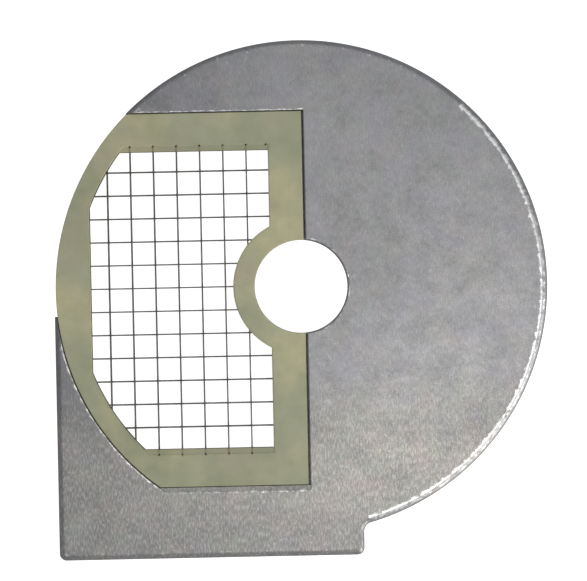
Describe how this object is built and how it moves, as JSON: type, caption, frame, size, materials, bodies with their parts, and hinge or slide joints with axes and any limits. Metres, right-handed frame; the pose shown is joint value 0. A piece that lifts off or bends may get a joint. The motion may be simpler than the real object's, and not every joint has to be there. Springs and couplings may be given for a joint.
{
  "type": "dicing grid plate",
  "caption": "Cast aluminium dicing plate for a food processor, with a drop-in nylon insert holding a square grid of thin steel blades, a shaft hole and a locating tab.",
  "frame": {"origin": "on the axis of the shaft hole, at the plate's underside", "axes": "+Z along the shaft, from the underside to the face that the blades' edges point to; +Y along the long blades, away from the locating tab; +X from the insert towards the solid half of the plate"},
  "size_m": [0.2123, 0.222, 0.012],
  "materials": {
    "cast_aluminium": "satin, tumbled and worn",
    "nylon": "satin, slightly translucent, stained",
    "blade_steel": "ground, darkened"
  },
  "bodies": {
    "plate": {"base_plate": "cast_aluminium"},
    "insert": {"insert_frame": "nylon", "long_blade_1": "blade_steel", "long_blade_2": "blade_steel", "long_blade_3": "blade_steel", "long_blade_4": "blade_steel", "long_blade_5": "blade_steel", "long_blade_6": "blade_steel", "long_blade_7": "blade_steel", "cross_blade_1": "blade_steel", "cross_blade_2": "blade_steel", "cross_blade_3": "blade_steel", "cross_blade_4": "blade_steel", "cross_blade_5": "blade_steel", "cross_blade_6": "blade_steel", "cross_blade_7": "blade_steel", "cross_blade_8": "blade_steel", "cross_blade_9": "blade_steel", "cross_blade_10": "blade_steel", "cross_blade_11": "blade_steel", "cross_blade_12": "blade_steel"}
  },
  "joints": [
    {"name": "insert_lift", "type": "slide", "parent": "plate", "child": "insert", "axis": [0, 0, 1], "range_m": [0, 0.03]}
  ]
}
